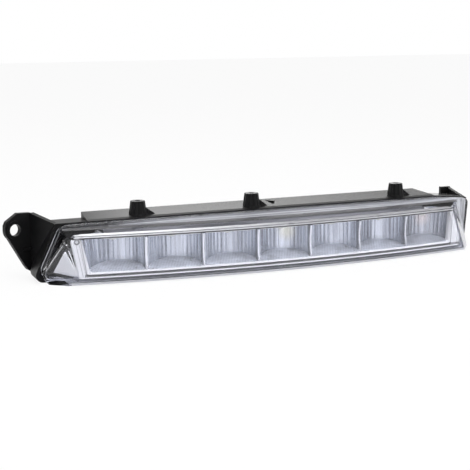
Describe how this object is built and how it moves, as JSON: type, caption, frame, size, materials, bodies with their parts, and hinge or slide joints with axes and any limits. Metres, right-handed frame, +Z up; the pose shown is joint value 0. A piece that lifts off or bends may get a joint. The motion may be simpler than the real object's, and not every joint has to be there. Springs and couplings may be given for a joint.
{
  "type": "daytime running light",
  "caption": "Long narrow daytime running light for a car front: clear arched lens over a row of reflector cells, black housing with bolt ear, screw bosses, end hook and rear socket.",
  "frame": {"origin": "centre of the bolt hole in the ear, at half the ear's thickness", "axes": "+X along the lamp away from the ear, -Y the way the light shines, +Z up"},
  "size_m": [0.2868, 0.0565, 0.0405],
  "materials": {
    "housing_plastic": "black moulded plastic, satin",
    "clear_lens": "clear moulded plastic, polished",
    "black_rubber": "soft sealing bead",
    "pale_bezel": "very pale grey, smooth",
    "silver_reflector": "plastic with a bright metal coat",
    "white_board": "white coated circuit board",
    "green_board": "coated circuit board",
    "grey_pad": "soft heat pad",
    "sink_aluminium": "pressed sheet",
    "diode_resin": "yellow phosphor under clear resin",
    "screw_steel": "zinc plated",
    "chip_black": "moulded",
    "inductor_grey": "pressed powder",
    "capacitor_can": "drawn can",
    "pin_brass": "tinned",
    "orange_seal": "soft silicone",
    "vent_plastic": "moulded",
    "vent_fabric": "thin white membrane"
  },
  "bodies": {
    "root": {"housing": "housing_plastic", "outer_lens": "clear_lens", "seal_bead": "black_rubber", "bezel": "pale_bezel", "reflector": "silver_reflector", "light_board": "white_board", "thermal_pad": "grey_pad", "heat_sink": "sink_aluminium", "led_1": "diode_resin", "led_2": "diode_resin", "led_3": "diode_resin", "led_4": "diode_resin", "led_5": "diode_resin", "led_6": "diode_resin", "led_7": "diode_resin", "board_screws": "screw_steel", "reflector_screws": "screw_steel", "bezel_screw": "screw_steel", "driver_board": "green_board", "driver_screws": "screw_steel", "driver_chip": "chip_black", "inductor": "inductor_grey", "capacitors": "capacitor_can", "resistors": "chip_black", "protection_diode": "chip_black", "link_pins": "pin_brass", "contact_pin_1": "pin_brass", "contact_pin_2": "pin_brass", "contact_pin_3": "pin_brass", "connector_seal": "orange_seal", "vent_cap": "vent_plastic", "vent_membrane": "vent_fabric"}
  },
  "joints": []
}
